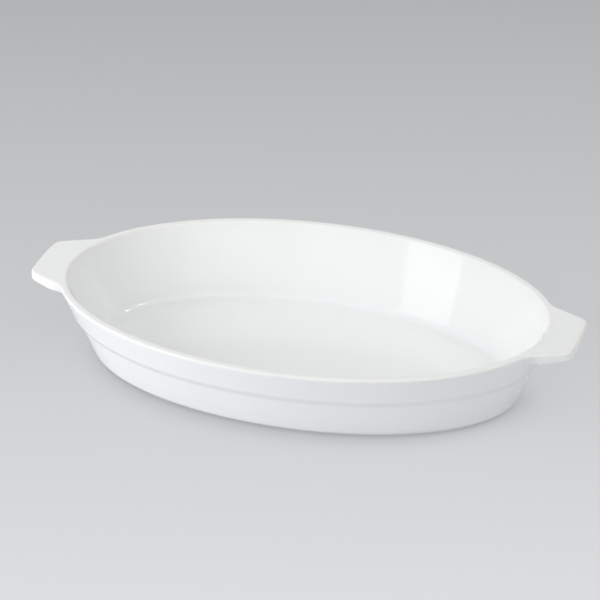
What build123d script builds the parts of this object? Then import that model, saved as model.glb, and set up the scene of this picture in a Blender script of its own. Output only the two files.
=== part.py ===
from build123d import *
import os
from math import atan2, cos, radians, sin, sqrt, tan

os.makedirs("parts", exist_ok=True)

# Oval gratin dish in glazed stoneware, with a flat lug handle at each end.
# Millimetres. The origin is the middle of the foot on the table, X along the dish, Z up.

# Driving sizes of the opening and the rim
opening_length = 315
opening_width = 197.5
rim_width = 5.7
height = 55

# Driving sizes of the wall: a thicker band under the rim, then a step inwards
band_height = 20.5
step_height = 3
step_depth = 1.8
crest_radius = 2
hollow_radius = 7
end_wall_thickness = 8.9
side_wall_thickness = 6.9
floor_thickness = 8
base_radius = 10
floor_radius = 7.5

# Driving sizes of the unglazed foot ring
foot_height = 1.5
foot_width = 6

# Driving sizes of the handles
handle_overhang = 16.8
handle_tip_width = 45
handle_tip_bow = 1
handle_tip_thickness = 5.8
handle_corner_radius = 8.5
handle_root_radius = 20
handle_root_reach = 9

# Angles in degrees: the lean of the wall at its ends and sides, then those of the handles
end_lean_angle = 21.5
side_lean_angle = 25
handle_splay_angle = 26
handle_draft_angle = 4
handle_root_bite_angle = 12

# Rounding of the edges, as shares of the thickness that carries them
rim_rounding_share = 0.26
handle_rounding_share = 0.22

# The lean of the wall, then its thickness at the floor, each at the ends and at the sides
lean_angles = (end_lean_angle, side_lean_angle)
wall_thicknesses = (end_wall_thickness, side_wall_thickness)

# One overrun serves all cuts
overrun = 10

# Heights above the table where the wall changes
step_top = height - band_height
step_bottom = step_top - step_height
floor_top = foot_height + floor_thickness

# How far the handles reach from the middle of the dish
handle_tip = opening_length / 2 + rim_width + handle_overhang

# Rounding radii
rim_rounding = rim_width * rim_rounding_share
handle_rounding = handle_tip_thickness * handle_rounding_share


def outer_oval(level):
    """Half length and half width of the outer wall at a height above the table."""
    step = step_depth if level < step_top else 0
    drawn_in = [step + (height - level) * tan(radians(lean)) for lean in lean_angles]
    return opening_length / 2 + rim_width - drawn_in[0], opening_width / 2 + rim_width - drawn_in[1]


def level_edges(part, level):
    """The edges of a part that lie level at one height."""
    return part.edges().filter_by_position(Axis.Z, level, level)


def foot_draw(lean):
    """How far the base rounding draws the foot in from the corner of the wall and the table."""
    return base_radius * tan(radians(90 - lean) / 2)


def handle_outline():
    """Corners of a handle's plan on the +Y side: at its tip, at the rim and inside the wall."""
    tip = Vector(handle_tip - handle_tip_bow, handle_tip_width / 2)
    long, wide = outer_oval(height)
    slope = tan(radians(handle_splay_angle))
    # The side line runs inwards until it crosses the rim's oval
    square = 1 / long**2 + slope**2 / wide**2
    middle = tip.X / long**2 - slope * tip.Y / wide**2
    rest = tip.X**2 / long**2 + tip.Y**2 / wide**2 - 1
    run = (middle - sqrt(middle**2 - square * rest)) / square
    root = Vector(tip.X - run, tip.Y + slope * run)
    # From there it follows the rim for a short reach, biting into the wall
    heading = atan2(wide**2 * root.X, long**2 * root.Y) - radians(handle_root_bite_angle)
    end = root + Vector(-cos(heading), sin(heading)) * handle_root_reach
    return tip, root, end


# Solid blank of the vessel, from the table to the rim, with its step and its rounded base
with BuildPart() as vessel_blank:
    for level in (0, step_bottom, step_top, height):
        with BuildSketch(Plane.XY.offset(level)):
            Ellipse(*outer_oval(level))
    loft(ruled=True)
    fillet(level_edges(vessel_blank, step_top), crest_radius)
    fillet(level_edges(vessel_blank, step_bottom), hollow_radius)
    fillet(level_edges(vessel_blank, 0), base_radius)

# The space for the food, which runs out past the rim
rim_half_length, rim_half_width = opening_length / 2, opening_width / 2
floor_half_length, floor_half_width = [
    half - wall for half, wall in zip(outer_oval(floor_top), wall_thicknesses)
]
run_out_share = 1 + overrun / (height - floor_top)
with BuildPart() as food_space:
    with BuildSketch(Plane.XY.offset(floor_top)):
        Ellipse(floor_half_length, floor_half_width)
    with BuildSketch(Plane.XY.offset(height + overrun)):
        Ellipse(
            floor_half_length + (rim_half_length - floor_half_length) * run_out_share,
            floor_half_width + (rim_half_width - floor_half_width) * run_out_share,
        )
    loft(ruled=True)
    fillet(level_edges(food_space, floor_top), floor_radius)

# Blank of one handle: a flat lug, thicker towards the rim, that runs on into the wall
tip_corner, root_corner, end_corner = handle_outline()
with BuildPart() as handle_blank:
    with BuildSketch(Plane.XY.offset(height)) as handle_plan:
        with BuildLine():
            ThreePointArc((tip_corner.X, -tip_corner.Y), (handle_tip, 0), tip_corner)
            Polyline(tip_corner, root_corner, end_corner, (end_corner.X, 0))
            mirror(about=Plane.XZ)
        make_face()
        along = handle_plan.vertices().group_by(Axis.X)
        fillet(along[1], handle_root_radius)
        fillet(along[-1], handle_corner_radius)
    extrude(amount=-band_height)
    underside = Plane((handle_tip, 0, height - handle_tip_thickness), (1, 0, 0)).rotated(
        (0, -handle_draft_angle, 0)
    )
    split(bisect_by=underside)
    closing_face = handle_blank.faces().sort_by(Axis.X)[0]
    top_face = handle_blank.faces().sort_by(Axis.Z)[-1]
    fillet(top_face.edges() - closing_face.edges(), rim_rounding)
    bottom_face = handle_blank.faces().sort_by(Axis.Z)[0]
    fillet(bottom_face.edges() - closing_face.edges(), handle_rounding)

# Where the handles stand, the rim keeps its full width and the handle's top runs flush into it
with BuildPart() as handle_seats:
    add(handle_blank.part)
    add(handle_blank.part.mirror(Plane.YZ))
    add(vessel_blank.part, mode=Mode.INTERSECT)

# The vessel, down to the top of its foot
with BuildPart() as bowl:
    add(vessel_blank.part)
    fillet(level_edges(bowl, height), rim_rounding)
    add(handle_seats.part)
    add(food_space.part, mode=Mode.SUBTRACT)
    fillet(bowl.faces().sort_by(Axis.Z)[-1].inner_wires().edges(), rim_rounding)
    split(bisect_by=Plane.XY.offset(foot_height))
bowl.part.label = "bowl"
export_step(bowl.part, "parts/bowl.step")

# Bare ring of clay that the dish stands on, round a shallow recess
recess = [half - foot_draw(lean) - foot_width for half, lean in zip(outer_oval(0), lean_angles)]
with BuildPart() as foot_ring:
    add(vessel_blank.part)
    split(bisect_by=Plane.XY.offset(foot_height), keep=Keep.BOTTOM)
    with BuildSketch(Plane.XY):
        Ellipse(*recess)
    extrude(amount=foot_height, mode=Mode.SUBTRACT)
foot_ring.part.label = "foot_ring"
export_step(foot_ring.part, "parts/foot_ring.step")

# Handles, each on the outer face of the band
with BuildPart() as handle_right:
    add(handle_blank.part)
    add(vessel_blank.part, mode=Mode.SUBTRACT)
    add(food_space.part, mode=Mode.SUBTRACT)
handle_right.part.label = "handle_right"
export_step(handle_right.part, "parts/handle_right.step")

with BuildPart() as handle_left:
    add(handle_right.part.mirror(Plane.YZ))
handle_left.part.label = "handle_left"
export_step(handle_left.part, "parts/handle_left.step")
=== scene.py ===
"""Oval gratin dish in white glazed stoneware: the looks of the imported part, in its frame, in metres."""

from math import cos, pi, radians, sin, tan

import bpy
import numpy as np
from mathutils import Matrix, Vector, noise


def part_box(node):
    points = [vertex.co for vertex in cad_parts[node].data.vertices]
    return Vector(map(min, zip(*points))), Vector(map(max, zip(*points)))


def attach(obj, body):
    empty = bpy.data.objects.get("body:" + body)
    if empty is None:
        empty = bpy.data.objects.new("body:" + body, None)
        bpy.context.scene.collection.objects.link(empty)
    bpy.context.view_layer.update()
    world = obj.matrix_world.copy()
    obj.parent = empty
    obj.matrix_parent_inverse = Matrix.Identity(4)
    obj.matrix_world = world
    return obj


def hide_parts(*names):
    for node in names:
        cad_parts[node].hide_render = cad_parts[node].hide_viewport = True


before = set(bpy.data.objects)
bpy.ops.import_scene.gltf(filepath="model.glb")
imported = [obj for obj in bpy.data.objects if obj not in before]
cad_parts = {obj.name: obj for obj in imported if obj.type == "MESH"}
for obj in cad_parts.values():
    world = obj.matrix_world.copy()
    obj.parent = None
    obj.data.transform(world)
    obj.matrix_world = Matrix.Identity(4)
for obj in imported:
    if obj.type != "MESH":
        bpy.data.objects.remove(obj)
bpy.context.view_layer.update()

MM = 0.001

# What the frame gives: the height of the rim and the foot, and how far the handles reach
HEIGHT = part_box("bowl")[1].z
FOOT_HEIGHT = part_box("foot_ring")[1].z
HANDLE_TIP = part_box("handle_right")[1].x

# The opening and the rim, along the dish and across it
OPENING = (157.5 * MM, 98.75 * MM)
RIM_WIDTH = 5.7 * MM
RIM_ROUNDING = 1.5 * MM

# The wall: its lean at the ends and along the sides, the band under the rim and the step below it
LEAN = (radians(21.5), radians(25))
BAND_HEIGHT = 20.5 * MM
STEP_HEIGHT = 5 * MM
STEP_DEPTH = 1.5 * MM
CREST_RADIUS = 8 * MM
HOLLOW_RADIUS = 9 * MM

# A faint bead along the lower edge of the band
BEAD_DEPTH = 0.2 * MM
BEAD_HEIGHT = 2.5 * MM
BEAD_RADIUS = 6 * MM

# How thick the wall is where it meets the floor, at the ends and along the sides, and how thick the floor is
WALL = (8.9 * MM, 6.9 * MM)
FLOOR = 8 * MM
FLOOR_RADIUS = 7.5 * MM
BASE_RADIUS = 10 * MM

# The bare foot ring, and how far the glaze above it stands proud
FOOT_WIDTH = 6 * MM
FOOT_EDGE = 0.5 * MM
GLAZE_LIP = 0.25 * MM

# The handles. The throat is the hollow under a handle, and the rise is how far out it reaches its full form
HANDLE_TIP_WIDTH = 45 * MM
HANDLE_TIP_BOW = 1 * MM
HANDLE_THICKNESS = 5.8 * MM
HANDLE_SPLAY = radians(26)
HANDLE_DRAFT = radians(4)
HANDLE_CORNER = 8.5 * MM
HANDLE_ROOT = 24 * MM
HANDLE_EDGE = 1.25 * MM
HANDLE_THROAT = 2.2 * MM
HANDLE_RISE = 6 * MM

# Where no handle stands out, its lower edge moves up and its throat down by this much, to keep them apart
LIP_LIFT = 1 * MM
THROAT_DROP = 0.5 * MM

# How finely the skin follows the form: columns round the dish, and for each section the steps of its arcs
# and of the runs between them
COLUMNS = 600
UNDERSIDE_SHARES = (0.001, 0.2, 0.4, 0.6, 0.8, 0.95, 0.997)
BASE_STEPS = 10
LOWER_ARCS, LOWER_RUNS = (8, 8, 5), (12, 2, 3, 2)
EDGE_ARCS, EDGE_RUNS = (7, 7, 10), (8, 9, 4)
LAND_STEPS = 8
INNER_ARCS, INNER_RUNS = (10, 14), (1, 16, 18)
FOOT_STEPS = 4
FOOT_EDGE_STEPS, FOOT_RUNS = 5, (3, 6)

# An arc takes up at least this much of the lines that it joins, and below this turn it is a straight line
LEAST_REACH = 0.3 * MM
LEAST_TURN = radians(0.1)

# How many times the search for a handle's edge halves its range, and how far to each side its slope is read
HALVINGS = 40
NUDGE = 0.01 * MM

# The waves that the glaze settles in, as their frequency and height, and how far above the foot they begin
WAVES = ((1 / (62 * MM), 0.07 * MM), (1 / (23 * MM), 0.018 * MM))
CALM_HEIGHT = 4 * MM

# The weights with which the marks for thin and pooled glaze fade out along a section
MARK_FADE = (1, 2, 3, 2, 1)

# The camera: how it stands towards the dish, and where it aims from the middle of the foot
CAMERA_AZIMUTH = radians(17.76)
CAMERA_ELEVATION = radians(28.09)
CAMERA_DISTANCE = 1.878
CAMERA_LENS = 174.96
CAMERA_SENSOR = 36
CAMERA_CLIP = (0.05, 50)
AIM_UP = 45.3 * MM
AIM_LEFT = 2.9 * MM


def step_in(level):
    """How far the wall at a level stands behind the slope of the band."""
    return STEP_DEPTH if level < HEIGHT - BAND_HEIGHT else 0


def outer(side, level):
    """Half size of the outer wall at a level: side 0 is along the dish, side 1 across it."""
    return OPENING[side] + RIM_WIDTH - step_in(level) - (HEIGHT - level) * tan(LEAN[side])


def arc_points(before, corner, after, radius, steps):
    """Points on the arc that rounds a corner off, within half of the run on each side."""
    way_in, way_out = corner - before, after - corner
    room = min(np.linalg.norm(way_in), np.linalg.norm(way_out)) / 2
    way_in = way_in / np.linalg.norm(way_in)
    way_out = way_out / np.linalg.norm(way_out)
    turn = np.arccos(np.clip(way_in @ way_out, -1, 1))
    reach = min(max(radius * tan(turn / 2), LEAST_REACH), room)
    start = corner - way_in * reach
    if turn < LEAST_TURN:
        return [start + (corner + way_out * reach - start) * k / steps for k in range(steps + 1)]
    inwards = (way_out - way_in * cos(turn)) / sin(turn)
    bend = reach / tan(turn / 2)
    angles = [turn * k / steps for k in range(steps + 1)]
    return [start + bend * (sin(a) * way_in + (1 - cos(a)) * inwards) for a in angles]


def rounded_path(corners, radii, arc_steps, run_steps):
    """Points along a line of corners with each inner corner rounded off, in fixed counts of steps."""
    corners = [np.array(corner, float) for corner in corners]
    points = [corners[0]]
    for i in range(1, len(corners)):
        arc = [corners[i]]
        if i < len(corners) - 1:
            arc = arc_points(*corners[i - 1 : i + 2], radii[i - 1], arc_steps[i - 1])
        last, run = points[-1], run_steps[i - 1]
        points += [last + (arc[0] - last) * k / run for k in range(1, run + 1)]
        points += arc[1:]
    return np.array(points)


# Sections of the wall

# Angle of the base's arc at which the glaze starts, above the bare foot
FOOT_ANGLE = np.arccos((BASE_RADIUS - FOOT_HEIGHT) / BASE_RADIUS)


def base_arc(side, radius, start, end, steps):
    """Points on the rounded base between two angles, which count from its lowest point."""
    middle = outer(side, 0) - BASE_RADIUS * tan((pi / 2 - LEAN[side]) / 2)
    angles = np.linspace(start, end, steps + 1)
    return np.stack([middle + radius * np.sin(angles), BASE_RADIUS - radius * np.cos(angles)], 1)


def lower_section(side):
    """Half section of the outside: under the dish, up the wall and over the step to the top of the bead."""
    arc = base_arc(side, BASE_RADIUS, FOOT_ANGLE, pi / 2 - LEAN[side], BASE_STEPS)
    under = np.array([(arc[0][0] * share, FOOT_HEIGHT) for share in UNDERSIDE_SHARES])
    step_top = HEIGHT - BAND_HEIGHT
    step_bottom = step_top - STEP_HEIGHT
    crest = outer(side, step_top) + BEAD_DEPTH
    bead_top = step_top + BEAD_HEIGHT
    band_start = bead_top + BEAD_HEIGHT
    path = rounded_path(
        [
            arc[-1],
            (outer(side, step_bottom), step_bottom),
            (crest, step_top),
            (outer(side, bead_top), bead_top),
            (outer(side, band_start), band_start),
        ],
        [HOLLOW_RADIUS, CREST_RADIUS, BEAD_RADIUS],
        LOWER_ARCS,
        LOWER_RUNS,
    )
    return np.vstack([under, arc, path[1:]])


def inner_section(side):
    """Half section of the inside: over the inner edge of the rim, down the wall and over the floor."""
    level = FOOT_HEIGHT + FLOOR
    floor = outer(side, level) - WALL[side]
    path = rounded_path(
        [(OPENING[side] + RIM_WIDTH, HEIGHT), (OPENING[side], HEIGHT), (floor, level), (0, level)],
        [RIM_ROUNDING, FLOOR_RADIUS],
        INNER_ARCS,
        INNER_RUNS,
    )
    return path[1:-1]


def swept(sections, turns):
    """Sweeps a pair of half sections, along the dish and across it, round the ovals between them."""
    along, across = sections
    c, s = np.cos(turns)[:, None], np.sin(turns)[:, None]
    level = along[:, 1] * c**2 + across[:, 1] * s**2
    return np.stack([along[:, 0] * c, across[:, 0] * s, level], 2)


# The plan of the rim with its handles

def rounded_corner(a, b, facing, radius):
    """Distance to a rounded corner, from those to its two edges and the cosine between their normals."""
    u, v = a + radius, b + radius
    inside = (u > v * facing) & (v > u * facing)
    gap = np.sqrt(np.maximum(u**2 + v**2 - 2 * u * v * facing, 0)) / np.sqrt(1 - facing**2)
    return np.where(inside, gap - radius, np.maximum(a, b))


def plan_distance(x, y):
    """How far a point lies outside the plan of the rim and its two handles. Negative inside."""
    x, y = abs(x), abs(y)
    long, wide = OPENING[0] + RIM_WIDTH, OPENING[1] + RIM_WIDTH
    size = np.hypot(x / long, y / wide)
    slope = np.hypot(x / long**2, y / wide**2) / size
    rim = (size - 1) / slope
    rim_facing = (x * sin(HANDLE_SPLAY) / long**2 + y * cos(HANDLE_SPLAY) / wide**2) / size / slope
    corner_x, corner_y = HANDLE_TIP - HANDLE_TIP_BOW, HANDLE_TIP_WIDTH / 2
    flank = (x - corner_x) * sin(HANDLE_SPLAY) + (y - corner_y) * cos(HANDLE_SPLAY)
    bow_radius = (corner_y**2 + HANDLE_TIP_BOW**2) / (2 * HANDLE_TIP_BOW)
    from_middle = x - HANDLE_TIP + bow_radius
    tip = np.hypot(from_middle, y) - bow_radius
    tip_facing = (from_middle * sin(HANDLE_SPLAY) + y * cos(HANDLE_SPLAY)) / (tip + bow_radius)
    # The lug ends well inside the rim
    lug = np.maximum(rounded_corner(tip, flank, tip_facing, HANDLE_CORNER), OPENING[0] / 2 - x)
    return -rounded_corner(-rim, -lug, rim_facing, HANDLE_ROOT)


def handle_reach(rim, facing):
    """How far the plan reaches out from each point of the rim, and how squarely its edge meets that line."""
    # The search starts just inside the rim
    near = np.full(len(rim), -RIM_WIDTH / 10)
    far = np.full(len(rim), HANDLE_TIP - OPENING[0])
    for _ in range(HALVINGS):
        middle = (near + far) / 2
        outside = plan_distance(*(rim + facing * middle[:, None]).T) > 0
        far = np.where(outside, middle, far)
        near = np.where(outside, near, middle)
    edge = rim + facing * far[:, None]
    x, y = edge.T
    slope = np.stack(
        [
            plan_distance(x + NUDGE, y) - plan_distance(x - NUDGE, y),
            plan_distance(x, y + NUDGE) - plan_distance(x, y - NUDGE),
        ],
        1,
    )
    slope /= np.linalg.norm(slope, axis=1)[:, None]
    return np.maximum(far, 0), np.sum(slope * facing, axis=1)


def smooth_step(share):
    """Eases a share in and out between 0 and 1."""
    share = np.clip(share, 0, 1)
    return share * share * (3 - 2 * share)


def edge_columns(turns, start, end):
    """Columns from the bead's top over the band, the handles and the rim to its inner edge.

    With them comes how far a handle has risen at each column, from 0 to 1.
    """
    size = np.array([OPENING[0] + RIM_WIDTH, OPENING[1] + RIM_WIDTH])
    rim = np.stack([np.cos(turns), np.sin(turns)], 1) * size
    facing = rim / size**2
    facing /= np.linalg.norm(facing, axis=1)[:, None]
    reach, square = handle_reach(rim, facing)
    emerged = smooth_step(reach / HANDLE_RISE)
    # The wall below a point of the rim draws in this far for each length that it goes down
    draw = np.stack([np.cos(turns) * tan(LEAN[0]), np.sin(turns) * tan(LEAN[1])], 1)
    draw_out = np.sum(draw * facing, axis=1)
    root_x = OPENING[0] - RIM_WIDTH
    columns = []
    for i in range(len(turns)):
        under = HEIGHT - HANDLE_THICKNESS
        thickest = under - (HANDLE_TIP - max(abs(rim[i][0]), root_x)) * tan(HANDLE_DRAFT)
        outer_x = max(abs(rim[i][0] + facing[i][0] * reach[i]), root_x)
        lip = under - (HANDLE_TIP - outer_x) * tan(HANDLE_DRAFT) + LIP_LIFT * (1 - emerged[i])
        throat = thickest - THROAT_DROP * (1 - emerged[i])
        wall_at = [-(HEIGHT - level) * draw_out[i] for level in (start[i][2], throat, lip)]
        path = rounded_path(
            [
                (wall_at[0] * square[i], start[i][2]),
                (wall_at[1] * square[i], throat),
                ((wall_at[2] + (reach[i] - wall_at[2]) * emerged[i]) * square[i], lip),
                (reach[i] * square[i], HEIGHT),
                (-RIM_WIDTH * square[i], HEIGHT),
            ],
            [HANDLE_THROAT, HANDLE_EDGE, RIM_ROUNDING],
            EDGE_ARCS,
            (*EDGE_RUNS, 1),
        )[:-1]
        down = HEIGHT - path[:, 1]
        out = path[:, 0] / square[i] + down * draw_out[i]
        plan = rim[i] - draw[i] * down[:, None] + facing[i] * out[:, None]
        edge = np.column_stack([plan, path[:, 1]])
        land = [edge[-1] + (end[i] - edge[-1]) * k / LAND_STEPS for k in range(1, LAND_STEPS)]
        columns.append(np.vstack([edge[1:], land]))
    return np.array(columns), emerged


# Meshes

def grid_mesh(name, columns, poles):
    """A closed mesh from columns of points all round.

    With poles it closes at a point at each end of a column, and without them each column is itself a loop.
    """
    count, rows = columns.shape[:2]
    points = [tuple(p) for p in columns.reshape(-1, 3)]
    faces = []
    for i in range(count):
        j = (i + 1) % count
        for k in range(rows - 1 if poles else rows):
            n = (k + 1) % rows
            faces.append((i * rows + k, j * rows + k, j * rows + n, i * rows + n))
    if poles:
        bottom, top = len(points), len(points) + 1
        points += [(0, 0, columns[0][0][2]), (0, 0, columns[0][-1][2])]
        for i in range(count):
            j = (i + 1) % count
            faces.append((bottom, j * rows, i * rows))
            faces.append((top, i * rows + rows - 1, j * rows + rows - 1))
    mesh = bpy.data.meshes.new(name)
    mesh.from_pydata(points, [], faces)
    mesh.polygons.foreach_set("use_smooth", [True] * len(faces))
    mesh.update()
    piece = bpy.data.objects.new(name, mesh)
    bpy.context.scene.collection.objects.link(piece)
    return piece


def settle(mesh, waves):
    """Lets the glaze lie in faint waves, as it does when it melts."""
    count = len(mesh.vertices)
    places, normals = np.zeros(count * 3), np.zeros(count * 3)
    mesh.vertices.foreach_get("co", places)
    mesh.vertices.foreach_get("normal", normals)
    places, normals = places.reshape(-1, 3), normals.reshape(-1, 3)
    heights = np.array([sum(high * noise.noise(Vector(p) * often) for often, high in waves) for p in places])
    # It lies flat just above the foot
    calm = smooth_step((places[:, 2] - FOOT_HEIGHT) / CALM_HEIGHT)
    mesh.vertices.foreach_set("co", (places + normals * (heights * calm)[:, None]).ravel())
    mesh.update()


def mark(mesh, name, values):
    """Writes a value for each vertex under a name that the material reads."""
    layer = mesh.attributes.new(name, "FLOAT", "POINT")
    layer.data.foreach_set("value", np.asarray(values, np.float32).ravel())


def glazed_dish():
    """The bowl and both handles as the one skin of glaze that the kiln makes of them."""
    turns = np.arange(COLUMNS) * 2 * pi / COLUMNS
    below = swept([lower_section(side) for side in (0, 1)], turns)
    inside = swept([inner_section(side) for side in (0, 1)], turns)
    edge, emerged = edge_columns(turns, below[:, -1], inside[:, 0])
    piece = grid_mesh("glazed_dish", np.concatenate([below, edge, inside], axis=1), poles=True)
    # The glaze thins over outer edges and pools in hollows
    rows = {"below": below.shape[1], "edge": edge.shape[1], "inside": inside.shape[1]}
    thin = np.zeros((COLUMNS, sum(rows.values())))
    pool = np.zeros_like(thin)
    hollow = len(UNDERSIDE_SHARES) + BASE_STEPS + 1 + LOWER_RUNS[0]
    crest = hollow + LOWER_ARCS[0] + LOWER_RUNS[1]
    pool[:, hollow : hollow + LOWER_ARCS[0]] = 1
    thin[:, crest : crest + LOWER_ARCS[1]] = 1
    throat = rows["below"] + EDGE_RUNS[0]
    lip = throat + EDGE_ARCS[0] + EDGE_RUNS[1]
    top = lip + EDGE_ARCS[1] + EDGE_RUNS[2]
    pool[:, throat : throat + EDGE_ARCS[0]] = emerged[:, None]
    thin[:, lip : lip + EDGE_ARCS[1]] = emerged[:, None]
    thin[:, top : top + EDGE_ARCS[2]] = 1
    inner_edge = rows["below"] + rows["edge"]
    corner = inner_edge + INNER_ARCS[0] + INNER_RUNS[1]
    thin[:, inner_edge : inner_edge + INNER_ARCS[0]] = 1
    pool[:, corner : corner + INNER_ARCS[1]] = 1
    fade = np.array(MARK_FADE) / sum(MARK_FADE)
    for name, values in (("thin", thin), ("pool", pool)):
        values = np.array([np.convolve(column, fade, "same") for column in values])
        mark(piece.data, name, np.append(values.ravel(), [0, 0]))
    settle(piece.data, WAVES)
    return piece


def foot_ring():
    """The bare ring of clay under the dish, wiped clean so that the glaze doesn't fuse to the kiln shelf."""
    sections = []
    for side in (0, 1):
        arc = base_arc(side, BASE_RADIUS - GLAZE_LIP, 0, FOOT_ANGLE, FOOT_STEPS)
        lowest = arc[0][0]
        inner_edge = lowest - FOOT_WIDTH
        ground = rounded_path(
            [(inner_edge, FOOT_HEIGHT), (inner_edge, 0), (lowest, 0)],
            [FOOT_EDGE],
            [FOOT_EDGE_STEPS],
            FOOT_RUNS,
        )
        # Its smaller radius lifts the arc off the table, so it is set down again and keeps the foot's height
        arc[:, 1] -= arc[0][1]
        arc[:, 1] *= FOOT_HEIGHT / arc[-1][1]
        sections.append(np.vstack([ground, arc[1:]]))
    turns = np.arange(COLUMNS) * 2 * pi / COLUMNS
    return grid_mesh("bare_foot_ring", swept(sections, turns), poles=False)


# Materials

def new_material(name):
    """A node material, its tree and its Principled shader."""
    material = bpy.data.materials.new(name)
    material.use_nodes = True
    tree = material.node_tree
    return material, tree, tree.nodes["Principled BSDF"]


def add(tree, kind, inputs=(), **settings):
    """Adds a node. An input is a number, a colour, or the output of another node."""
    node = tree.nodes.new(kind)
    for key, value in settings.items():
        setattr(node, key, value)
    for key, value in dict(inputs).items():
        if isinstance(value, bpy.types.NodeSocket):
            tree.links.new(value, node.inputs[key])
        else:
            node.inputs[key].default_value = value
    return node


def spread(tree, value, low, high, start=0.0, end=1.0):
    """Maps a value from one range to another."""
    inputs = {"Value": value, "From Min": low, "From Max": high, "To Min": start, "To Max": end}
    return add(tree, "ShaderNodeMapRange", inputs).outputs["Result"]


def maths(tree, operation, *values):
    """The result of a math node."""
    return add(tree, "ShaderNodeMath", dict(enumerate(values)), operation=operation).outputs[0]


def reach_along(tree, place, way):
    """How far a place lies in one direction."""
    return add(tree, "ShaderNodeVectorMath", {0: place, 1: way}, operation="DOT_PRODUCT").outputs["Value"]


def relief(tree, height, depth, under=None, invert=False):
    """Relief of a pattern, on top of relief that is already there."""
    inputs = {"Strength": 1.0, "Distance": depth, "Height": height}
    if under is not None:
        inputs["Normal"] = under
    return add(tree, "ShaderNodeBump", inputs, invert=invert).outputs[0]


def noise_at(tree, place, often, detail, roughness=0.5):
    """Soft noise with features of about one over its frequency, in metres."""
    inputs = {"Vector": place, "Scale": often, "Detail": detail, "Roughness": roughness}
    return add(tree, "ShaderNodeTexNoise", inputs).outputs["Fac"]


def mixed(tree, share, first, second, how="MIX"):
    """Mixes two colours."""
    node = add(tree, "ShaderNodeMix", data_type="RGBA", blend_type=how)
    for index, value in ((0, share), (6, first), (7, second)):
        if isinstance(value, bpy.types.NodeSocket):
            tree.links.new(value, node.inputs[index])
        else:
            node.inputs[index].default_value = value
    return node.outputs[2]


GLAZE_WHITE = (0.865, 0.867, 0.862, 1)
GLAZE_THIN = (0.80, 0.785, 0.735, 1)
GLAZE_POOL = (0.845, 0.862, 0.865, 1)
CLAY_LIGHT = (0.70, 0.655, 0.58, 1)
CLAY_DARK = (0.54, 0.485, 0.41, 1)

# Patterns in the glaze and the clay, as the frequency and detail of their noise. The grit's has a roughness
# too
GLAZE_CLOUD = (16, 3.0)
GLAZE_PATCH = (130, 3.0)
GLAZE_RIPPLE = (420, 2.0)
GLAZE_GRAIN = (1900, 2.0)
CLAY_BLOTCH = (90, 4.0)
CLAY_GRIT = (2200, 3.0, 0.7)

# The values of their noise between which an effect grows
SOFT_RANGE = (0.3, 0.7)
THIN_RANGE = (0.35, 0.65)
DULL_RANGE = (0.3, 0.75)
DARK_GRIT_RANGE = (0.6, 0.75)

# How deep their relief is
PATCH_DEPTH = 0.02 * MM
RIPPLE_DEPTH = 0.004 * MM
GRAIN_DEPTH = 0.0006 * MM
GRIT_DEPTH = 0.12 * MM

# How much of the thin and of the pooled colour shows at most, what part of the thin one stays where patches
# weaken it, and how dark the clouds are
THIN_SHARE = 0.45
POOL_SHARE = 0.5
THIN_LEAST = 0.55
CLOUD_TONE = 0.985

# The glaze's roughness in its smoothest and dullest patches, what thin edges add to it, and its refraction
GLAZE_ROUGHNESS = (0.035, 0.055)
THIN_ROUGHNESS = 0.03
GLAZE_IOR = 1.52

# The clay's roughness from its smoothest to its grittiest places, and how much of the dark colour grit shows
CLAY_ROUGHNESS = (0.72, 0.92)
GRIT_SHARE = 0.4

# Pinholes: cells in a metre, which of the cells' random values hold one, where its edge starts and ends in
# the cell, how deep it is and how much clay shows in it
PIT_CELLS = 95.0
PIT_CHOICE = (0.93, 0.935)
PIT_EDGE = (0.012, 0.028)
PIT_DEPTH = 0.08 * MM
PIT_CLAY = 0.35


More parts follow.
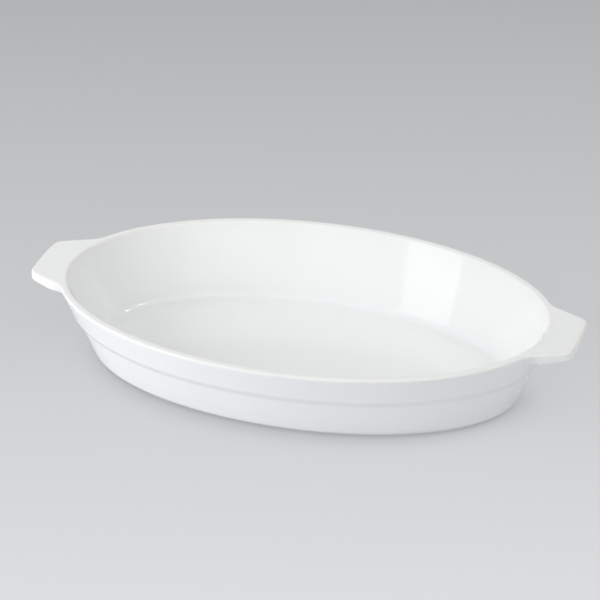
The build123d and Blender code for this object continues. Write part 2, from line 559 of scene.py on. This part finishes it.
def glaze_material():
    """Opaque white glaze: glossy, a touch warmer on edges, with faint ripples and a few pinholes."""
    material, tree, shader = new_material("white_glaze")
    place = add(tree, "ShaderNodeTexCoord").outputs["Object"]
    thin = add(tree, "ShaderNodeAttribute", attribute_name="thin").outputs["Fac"]
    pool = add(tree, "ShaderNodeAttribute", attribute_name="pool").outputs["Fac"]
    cloud = noise_at(tree, place, *GLAZE_CLOUD)
    patch = noise_at(tree, place, *GLAZE_PATCH)
    ripple = noise_at(tree, place, *GLAZE_RIPPLE)
    grain = noise_at(tree, place, *GLAZE_GRAIN)
    # Colour: nearly even, warmer where it is thin, cooler where it pools
    uneven = spread(tree, patch, *THIN_RANGE, THIN_LEAST, 1.0)
    thin_part = spread(tree, maths(tree, "MULTIPLY", thin, uneven), 0, 1, 0, THIN_SHARE)
    pool_part = spread(tree, pool, 0, 1, 0, POOL_SHARE)
    colour = mixed(tree, pool_part, mixed(tree, thin_part, GLAZE_WHITE, GLAZE_THIN), GLAZE_POOL)
    clouding = spread(tree, cloud, *SOFT_RANGE, CLOUD_TONE, 1.0)
    shade = add(tree, "ShaderNodeCombineColor", dict.fromkeys(("Red", "Green", "Blue"), clouding)).outputs[0]
    colour = mixed(tree, 1.0, colour, shade, "MULTIPLY")
    # Pinholes: a few cells hold one tiny pit each
    cells = add(tree, "ShaderNodeTexVoronoi", {"Vector": place, "Scale": PIT_CELLS})
    chosen = add(tree, "ShaderNodeSeparateColor", {"Color": cells.outputs["Color"]}).outputs["Red"]
    close = spread(tree, cells.outputs["Distance"], *PIT_EDGE, 1.0, 0.0)
    pit = maths(tree, "MULTIPLY", close, spread(tree, chosen, *PIT_CHOICE))
    pit_part = spread(tree, pit, 0, 1, 0, PIT_CLAY)
    colour = mixed(tree, pit_part, colour, CLAY_LIGHT)
    tree.links.new(colour, shader.inputs["Base Color"])
    # Gloss: a hard shine, a little duller in patches and on the thin edges
    dull = spread(tree, patch, *DULL_RANGE, *GLAZE_ROUGHNESS)
    tree.links.new(maths(tree, "MULTIPLY_ADD", thin, THIN_ROUGHNESS, dull), shader.inputs["Roughness"])
    shader.inputs["IOR"].default_value = GLAZE_IOR
    # Relief: slow ripples, fine grain and the pits
    surface = relief(tree, patch, PATCH_DEPTH)
    surface = relief(tree, ripple, RIPPLE_DEPTH, surface)
    surface = relief(tree, grain, GRAIN_DEPTH, surface)
    surface = relief(tree, pit, PIT_DEPTH, surface, invert=True)
    tree.links.new(surface, shader.inputs["Normal"])
    return material


def clay_material():
    """Bare fired stoneware: matt, gritty and a little uneven in colour."""
    material, tree, shader = new_material("bare_clay")
    place = add(tree, "ShaderNodeTexCoord").outputs["Object"]
    blotch = noise_at(tree, place, *CLAY_BLOTCH)
    grit = noise_at(tree, place, *CLAY_GRIT)
    blotches = mixed(tree, spread(tree, blotch, *SOFT_RANGE), CLAY_LIGHT, CLAY_DARK)
    colour = mixed(tree, spread(tree, grit, *DARK_GRIT_RANGE, 0, GRIT_SHARE), blotches, CLAY_DARK)
    tree.links.new(colour, shader.inputs["Base Color"])
    tree.links.new(spread(tree, grit, *SOFT_RANGE, *CLAY_ROUGHNESS), shader.inputs["Roughness"])
    tree.links.new(relief(tree, grit, GRIT_DEPTH), shader.inputs["Normal"])
    return material


# The studio

# The sheet: its size, and its tones along the camera's view, from a place before the dish to one behind it.
# A list of tones gives places on the way, from 0 to 1, and the tone at each
FLOOR_SIZE = 7.0
FLOOR_NEAR, FLOOR_FAR = -0.26, 0.63
FLOOR_TONES = ((0.0, 0.735), (0.4, 0.60), (1.0, 0.465))
FLOOR_TINT = (0.985, 0.992, 1.02)
FLOOR_ROUGHNESS = 0.9

# The share of its look that is plain tone, whatever the lamps do
FLOOR_PLAIN_SHARE = 0.8

# The light that it throws back on the dish: tones of its own between two distances towards the right front
BOUNCE_WAY = (0.8, -0.6, 0)
BOUNCE_FROM, BOUNCE_TO = -0.10, 0.30
BOUNCE_TONES = ((0.0, 0.97), (1.0, 0.80))
BOUNCE_TINT = (0.98, 1.0, 1.04)

# The soft shadow close to the dish: how far away a cover counts, how finely it is sampled, and its tones
# from covered to open
SHADOW_REACH = 60 * MM
SHADOW_SAMPLES = 24
SHADOW_TONES = ((0.22, 0.68), (0.31, 0.8), (0.37, 0.89), (0.45, 0.98), (0.55, 1.0))


def view_axes():
    """The camera's right, its up and the way from the dish back to it."""
    back = Vector(
        (
            sin(CAMERA_AZIMUTH) * cos(CAMERA_ELEVATION),
            -cos(CAMERA_AZIMUTH) * cos(CAMERA_ELEVATION),
            sin(CAMERA_ELEVATION),
        )
    )
    right = Vector((0, 0, 1)).cross(back).normalized()
    return right, back.cross(right), back


def add_camera():
    """The photo's camera, as fitted to the outline of the dish in it."""
    right, up, back = view_axes()
    data = bpy.data.cameras.new("camera")
    data.lens = CAMERA_LENS
    data.sensor_width = CAMERA_SENSOR
    data.clip_start, data.clip_end = CAMERA_CLIP
    camera = bpy.data.objects.new("camera", data)
    bpy.context.scene.collection.objects.link(camera)
    place = back * CAMERA_DISTANCE + up * AIM_UP - right * AIM_LEFT
    camera.matrix_world = Matrix.Translation(place) @ Matrix((right, up, back)).transposed().to_4x4()
    bpy.context.scene.camera = camera


def tone_ramp(tree, share, tones, tint):
    """A colour that runs through tones of one tint."""
    ramp = add(tree, "ShaderNodeValToRGB", {"Fac": share})
    stops = ramp.color_ramp.elements
    while len(stops) < len(tones):
        stops.new(0.5)
    for stop, (at, tone) in zip(stops, tones):
        stop.position = at
        stop.color = (*[tone * part for part in tint], 1)
    return ramp.outputs["Color"]


def add_floor():
    """A pale sheet that shades off towards the back, under the dish and far around it."""
    half = FLOOR_SIZE / 2
    mesh = bpy.data.meshes.new("floor")
    corners = [(-half, -half, 0), (half, -half, 0), (half, half, 0), (-half, half, 0)]
    mesh.from_pydata(corners, [], [(0, 1, 2, 3)])
    floor = bpy.data.objects.new("floor", mesh)
    bpy.context.scene.collection.objects.link(floor)
    material, tree, shader = new_material("floor_sheet")
    place = add(tree, "ShaderNodeTexCoord").outputs["Object"]
    away = (-sin(CAMERA_AZIMUTH), cos(CAMERA_AZIMUTH), 0)
    share = spread(tree, reach_along(tree, place, away), FLOOR_NEAR, FLOOR_FAR)
    tone = tone_ramp(tree, share, FLOOR_TONES, FLOOR_TINT)
    tree.links.new(tone, shader.inputs["Base Color"])
    shader.inputs["Roughness"].default_value = FLOOR_ROUGHNESS
    shader.inputs["Specular IOR Level"].default_value = 0.0
    # What the camera and the glaze see is mostly a plain tone, with the soft shadow close around the dish
    inputs = {"Distance": SHADOW_REACH}
    near = add(tree, "ShaderNodeAmbientOcclusion", inputs, samples=SHADOW_SAMPLES).outputs["AO"]
    shadow = tone_ramp(tree, near, SHADOW_TONES, (1, 1, 1))
    shaded = mixed(tree, 1.0, tone, shadow, "MULTIPLY")
    plain = add(tree, "ShaderNodeEmission", {"Color": shaded, "Strength": 1.0}).outputs[0]
    inputs = {0: FLOOR_PLAIN_SHARE, 1: shader.outputs[0], 2: plain}
    shown = add(tree, "ShaderNodeMixShader", inputs).outputs[0]
    # All that the sheet throws back on the dish is the bounce
    share = spread(tree, reach_along(tree, place, BOUNCE_WAY), BOUNCE_FROM, BOUNCE_TO)
    inputs = {"Color": tone_ramp(tree, share, BOUNCE_TONES, BOUNCE_TINT)}
    bounce = add(tree, "ShaderNodeBsdfDiffuse", inputs).outputs[0]
    path = add(tree, "ShaderNodeLightPath").outputs
    seen = maths(tree, "MAXIMUM", path["Is Camera Ray"], path["Is Glossy Ray"])
    mix = add(tree, "ShaderNodeMixShader", {0: seen, 1: bounce, 2: shown})
    tree.links.new(mix.outputs[0], tree.nodes["Material Output"].inputs["Surface"])
    mesh.materials.append(material)


def direction(azimuth, elevation):
    """Unit vector towards a place in the studio: azimuth from +X towards +Y, elevation above the table."""
    a, e = radians(azimuth), radians(elevation)
    return Vector((cos(a) * cos(e), sin(a) * cos(e), sin(e)))


# The lamps all stand this far from the middle of the foot
LAMP_DISTANCE = 2.4
LAMP_TINT = (0.99, 0.998, 1.018)


def add_panel(name, azimuth, elevation, width, height, power, mirrored=True, lit=True):
    """A flat soft light that faces the dish. It may only light it, or only show in the glaze."""
    data = bpy.data.lights.new(name, "AREA")
    data.shape = "RECTANGLE"
    data.size, data.size_y = width, height
    data.energy = power
    data.color = LAMP_TINT
    lamp = bpy.data.objects.new(name, data)
    bpy.context.scene.collection.objects.link(lamp)
    towards = direction(azimuth, elevation)
    lamp.visible_glossy, lamp.visible_diffuse = mirrored, lit
    lamp.location = towards * LAMP_DISTANCE
    lamp.rotation_mode = "QUATERNION"
    lamp.rotation_quaternion = towards.to_track_quat("Z", "Y")


# Each glow's azimuth and elevation in degrees, its strength and how narrow it is
WORLD_GLOWS = ((45, 10, 0.38, 2), (135, 10, 0.72, 2), (0, 90, 0.3, 2), (-45, 50, 1.36, 4))
WORLD_TINT = (0.985, 1.0, 0.995)
BACKDROP = (0.42, 0.425, 0.43, 1)


def add_world():
    """Soft light from all round, with a glow from some sides, and a plain grey behind the floor."""
    world = bpy.data.worlds.new("studio")
    bpy.context.scene.world = world
    world.use_nodes = True
    tree = world.node_tree
    tree.nodes.clear()
    place = add(tree, "ShaderNodeTexCoord").outputs["Generated"]
    level = 0.0
    for azimuth, elevation, strength, narrowness in WORLD_GLOWS:
        towards = maths(tree, "MAXIMUM", reach_along(tree, place, direction(azimuth, elevation)), 0.0)
        glow = maths(tree, "POWER", towards, narrowness)
        level = maths(tree, "MULTIPLY_ADD", glow, strength, level)
    soft = add(tree, "ShaderNodeBackground", {"Color": (*WORLD_TINT, 1), "Strength": level})
    plain = add(tree, "ShaderNodeBackground", {"Color": BACKDROP, "Strength": 1.0})
    seen = add(tree, "ShaderNodeLightPath").outputs["Is Camera Ray"]
    mix = add(tree, "ShaderNodeMixShader", {0: seen, 1: soft.outputs[0], 2: plain.outputs[0]})
    out = add(tree, "ShaderNodeOutputWorld")
    tree.links.new(mix.outputs[0], out.inputs["Surface"])


add_camera()
add_floor()
add_world()

# Lamps: azimuth and elevation in degrees, then width, height and power
add_panel("key_softbox", -134.9, 22, 0.75, 1.5, 5.4)
add_panel("key_fill", -134.9, 22, 0.75, 1.5, 16.4, mirrored=False)
add_panel("left_fill", -155, 24, 0.9, 0.9, 13.0, mirrored=False)
add_panel("front_fill", -110, 24, 0.9, 0.9, 4.0, mirrored=False)
add_panel("right_fill", 13, 48, 0.6, 1.2, 3.8, mirrored=False)
add_panel("right_strip", 13, 48, 1.1, 0.35, 12.0, lit=False)

dish = glazed_dish()
dish.data.materials.append(glaze_material())
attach(dish, "root")
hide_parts("bowl", "handle_left", "handle_right")

foot = foot_ring()
foot.data.materials.append(clay_material())
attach(foot, "root")
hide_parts("foot_ring")

bpy.context.scene.view_settings.view_transform = "Standard"
